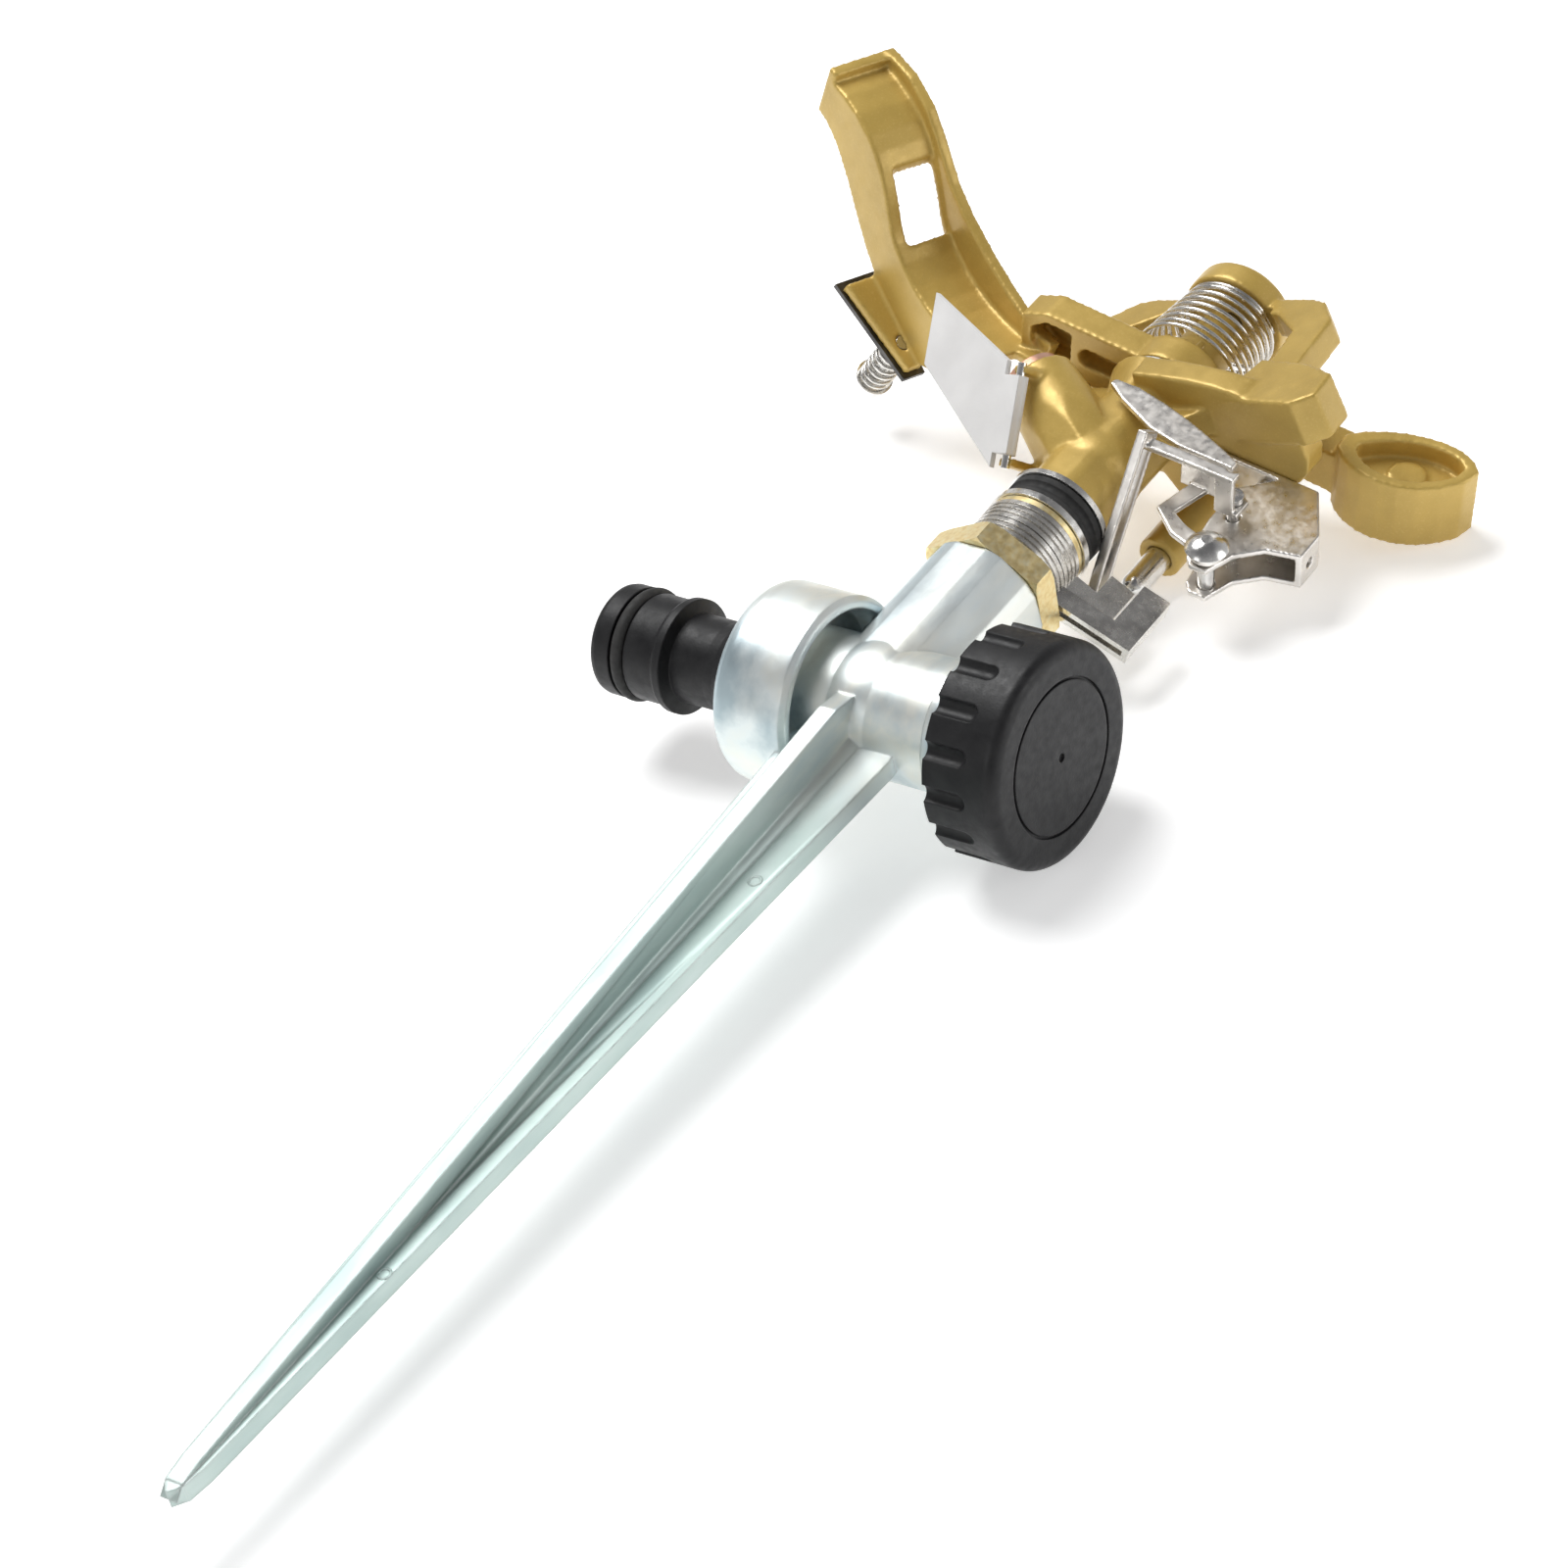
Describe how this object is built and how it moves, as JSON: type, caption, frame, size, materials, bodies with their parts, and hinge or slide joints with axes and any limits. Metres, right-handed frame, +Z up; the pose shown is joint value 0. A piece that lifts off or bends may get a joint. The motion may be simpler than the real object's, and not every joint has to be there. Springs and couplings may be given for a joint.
{
  "type": "impact sprinkler on a ground spike",
  "caption": "Part-circle impact sprinkler head on a cast ground spike, with a hose nipple, a screw-on outlet cap, two stop collars, a sprung arm and a trip mechanism.",
  "frame": {"origin": "on the riser axis at the soil line, 20 mm below the axis of the inlet", "axes": "+Z up the riser, +X from the hose nipple towards the cap"},
  "size_m": [0.1185, 0.0594, 0.2743],
  "materials": {
    "zinc_plate": "satin",
    "black_plastic": "satin",
    "black_rubber": "matt",
    "brass": "satin",
    "spring_steel": "satin",
    "bright_steel": "bright",
    "dark_steel": "satin",
    "sheet_steel": "satin",
    "white_plastic": "satin",
    "gold_paint": "satin",
    "copper_plate": "satin",
    "pale_paint": "matt"
  },
  "bodies": {
    "base": {"spike_casting": "zinc_plate", "inlet_nipple": "black_plastic", "nipple_o_ring": "black_rubber", "inlet_gasket": "black_rubber", "hex_nut": "brass"},
    "stop_collar_lower": {"stop_collar_a": "spring_steel"},
    "stop_collar_upper": {"stop_collar_b": "spring_steel"},
    "cap_carrier": {"cap_gasket": "black_rubber"},
    "cap": {"outlet_cap": "black_plastic"},
    "head": {"stem_seal": "black_rubber", "stem_washer": "white_plastic", "swivel_stem": "brass", "brass_washer": "brass", "spring_washer": "bright_steel", "sand_seal": "black_rubber", "steel_washer": "bright_steel", "stem_spring": "bright_steel", "head_casting": "gold_paint", "nozzle_insert": "copper_plate", "nozzle_gasket": "black_rubber", "fulcrum_pin": "bright_steel", "thrust_washer": "white_plastic", "pin_cap": "dark_steel", "arm_spring": "spring_steel", "flap_pin": "bright_steel", "trip_bracket": "sheet_steel", "bracket_rivets": "bright_steel", "trip_pin": "bright_steel", "tail_pin": "bright_steel", "stop_pin": "bright_steel"},
    "arm": {"impact_arm": "gold_paint", "arm_bush": "white_plastic", "ledge_plate": "dark_steel", "ledge_spring": "spring_steel"},
    "screw_carrier": {"ledge_washer": "bright_steel"},
    "screw": {"ledge_screw": "bright_steel"},
    "flap": {"deflector_flap": "pale_paint"},
    "lever": {"trip_lever": "sheet_steel"},
    "tail": {"trip_tail": "sheet_steel"}
  },
  "joints": [
    {"name": "head_swivel", "type": "hinge", "parent": "base", "child": "head", "pos_m": [0, 0, 0.05], "axis": [0, 0, 1], "range_deg": [-4, 315]},
    {"name": "arm_swing", "type": "hinge", "parent": "head", "child": "arm", "pos_m": [0, 0, 0.1], "axis": [0, 0, 1], "range_deg": [0, 75], "stiffness_Nm_per_rad": 0.02, "springref_deg": -28.65},
    {"name": "stop_collar_lower_turn", "type": "hinge", "parent": "base", "child": "stop_collar_lower", "pos_m": [0, 0, 0.054], "axis": [0, 0, 1], "range_deg": [-316, 16]},
    {"name": "stop_collar_upper_turn", "type": "hinge", "parent": "base", "child": "stop_collar_upper", "pos_m": [0, 0, 0.058], "axis": [0, 0, 1], "range_deg": [-324, 4]},
    {"name": "cap_travel", "type": "slide", "parent": "base", "child": "cap_carrier", "axis": [1, 0, 0], "range_m": [0, 0.01088]},
    {"name": "cap_turn", "type": "hinge", "parent": "cap_carrier", "child": "cap", "pos_m": [0.03, 0, 0.02], "axis": [1, 0, 0], "range_deg": [0, 2160]},
    {"name": "screw_travel", "type": "slide", "parent": "arm", "child": "screw_carrier", "axis": [-0.6659, 0.7375, 0.1127], "range_m": [0, 0.001]},
    {"name": "screw_turn", "type": "hinge", "parent": "screw_carrier", "child": "screw", "pos_m": [-0.04876, -0.00015, 0.09738], "axis": [-0.6659, 0.7375, 0.1127], "range_deg": [0, 720]},
    {"name": "flap_fold", "type": "hinge", "parent": "head", "child": "flap", "pos_m": [-0.01063, -0.00409, 0.07065], "axis": [-0.115, -0.6778, 0.7262], "range_deg": [-2, 35]},
    {"name": "trip_lever_swing", "type": "hinge", "parent": "head", "child": "lever", "pos_m": [0.02378, 0.00549, 0.0708], "axis": [-0.225, 0.9744, 0], "range_deg": [-11, 0]},
    {"name": "trip_tail_swing", "type": "hinge", "parent": "head", "child": "tail", "pos_m": [0.0227, 0.00524, 0.0802], "axis": [-0.225, 0.9744, 0], "range_deg": [-2.2, 0]}
  ],
  "couplings": [
    {"joint": "cap_turn", "follows": "cap_travel", "rad_per_m": 3463.7},
    {"joint": "screw_turn", "follows": "screw_travel", "rad_per_m": 12566},
    {"joint": "trip_tail_swing", "follows": "trip_lever_swing", "ratio": 0.2}
  ]
}
